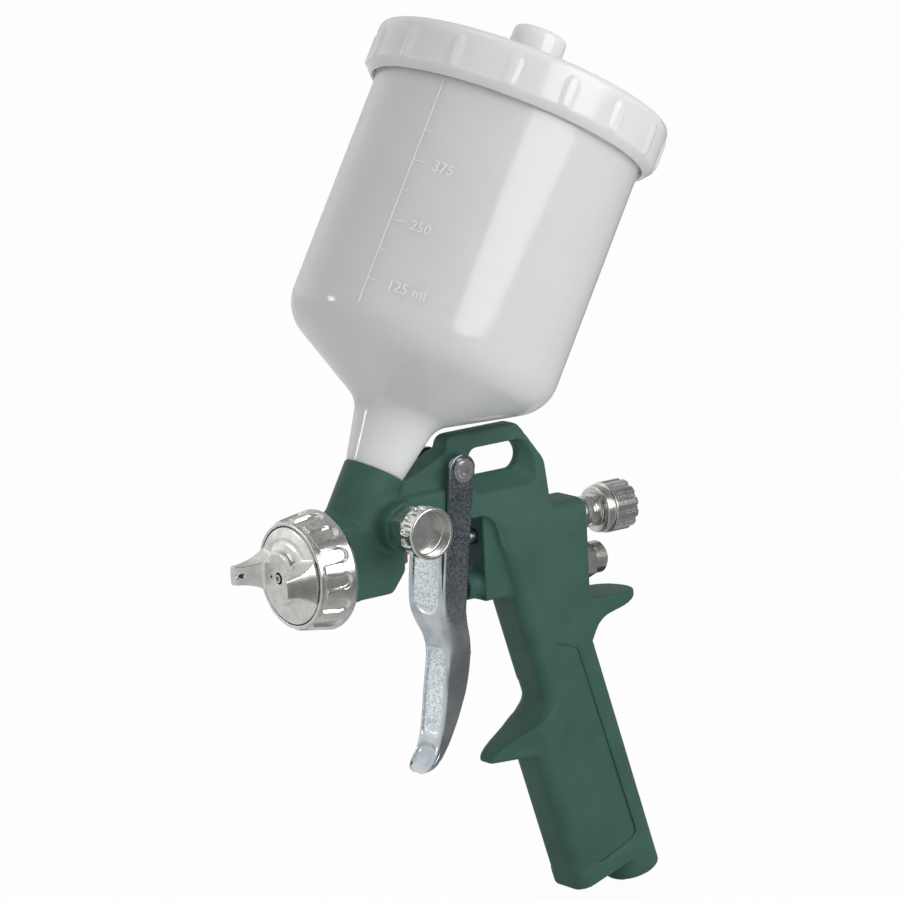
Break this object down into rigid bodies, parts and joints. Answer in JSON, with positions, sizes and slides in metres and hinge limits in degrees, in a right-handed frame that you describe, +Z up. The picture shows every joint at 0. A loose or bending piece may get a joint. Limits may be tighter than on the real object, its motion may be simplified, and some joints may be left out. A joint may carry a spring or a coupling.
{
  "type": "gravity-feed spray gun",
  "caption": "Gravity-feed paint spray gun with a leaning screw-on cup and lid, horned air cap, pressed trigger, fan and fluid knobs and a threaded air inlet under the handle.",
  "frame": {"origin": "middle of the hanging slot's top edge, where a hook carries the gun", "axes": "+X forward along the spray, +Y to the gun's left, +Z up with the spray axis level"},
  "size_m": [0.1573, 0.1002, 0.2983],
  "materials": {
    "body_green": "fine textured powder coat",
    "plated": "satin nickel plate",
    "zinc": "spangled zinc plate",
    "cup_white": "translucent white polypropylene",
    "steel": "ground stainless steel",
    "brass": "turned",
    "rubber": "matte",
    "seal_white": "smooth"
  },
  "bodies": {
    "gun": {"gun_body": "body_green", "paint_cup": "cup_white", "cup_gasket": "seal_white", "fluid_nozzle": "steel", "nozzle_gasket": "seal_white", "needle_packing": "seal_white", "packing_nut": "brass", "needle_spring": "steel", "needle_sleeve": "plated", "air_valve_packing": "seal_white", "air_valve_spring": "steel", "air_valve_plug": "plated", "plug_washer": "brass", "pivot_sleeve": "steel", "pivot_screws": "steel", "fan_gland": "plated", "fan_packing": "rubber"},
    "lid": {"cup_lid": "cup_white", "lid_seal": "seal_white", "vent_cap": "cup_white"},
    "ring": {"cap_ring": "plated"},
    "cap": {"air_cap": "plated"},
    "trigger_lever": {"trigger": "zinc"},
    "needle": {"fluid_needle": "steel", "needle_collar": "steel"},
    "air_valve": {"air_valve_stem": "steel", "air_valve_disc": "brass", "valve_seal": "rubber"},
    "fluid_control": {"fluid_knob": "plated"},
    "fan_control": {"fan_knob": "plated", "fan_spindle": "steel"}
  },
  "joints": [
    {"name": "trigger_pull", "type": "hinge", "parent": "gun", "child": "trigger_lever", "pos_m": [0.0195, 0, -0.0046], "axis": [0, 1, 0], "range_deg": [0, 12], "stiffness_Nm_per_rad": 3, "springref_deg": -11.46},
    {"name": "needle_slide", "type": "slide", "parent": "gun", "child": "needle", "axis": [-1, 0, 0], "range_m": [0, 0.0065], "deforming": ["needle_spring"]},
    {"name": "air_valve_slide", "type": "slide", "parent": "gun", "child": "air_valve", "axis": [-1, 0, 0], "range_m": [0, 0.0096], "deforming": ["air_valve_spring"]},
    {"name": "fluid_knob_turn", "type": "hinge", "parent": "gun", "child": "fluid_control", "pos_m": [-0.0499, 0, -0.0296], "axis": [1, 0, 0], "range_deg": [0, 900]},
    {"name": "fan_knob_turn", "type": "hinge", "parent": "gun", "child": "fan_control", "pos_m": [0.0477, 0.024, -0.0176], "axis": [0, 1, 0], "range_deg": [0, 540]},
    {"name": "air_cap_turn", "type": "hinge", "parent": "gun", "child": "cap", "pos_m": [0.0821, 0, -0.0296], "axis": [1, 0, 0], "range_deg": [0, 90]},
    {"name": "cap_ring_turn", "type": "hinge", "parent": "gun", "child": "ring", "pos_m": [0.0761, 0, -0.0296], "axis": [1, 0, 0], "continuous": true},
    {"name": "lid_lift", "type": "slide", "parent": "gun", "child": "lid", "axis": [-0.5, 0, 0.866], "range_m": [0, 0.06]}
  ],
  "couplings": [
    {"joint": "needle_slide", "follows": "trigger_pull", "m_per_rad": 0.0287},
    {"joint": "air_valve_slide", "follows": "trigger_pull", "m_per_rad": 0.0428}
  ]
}
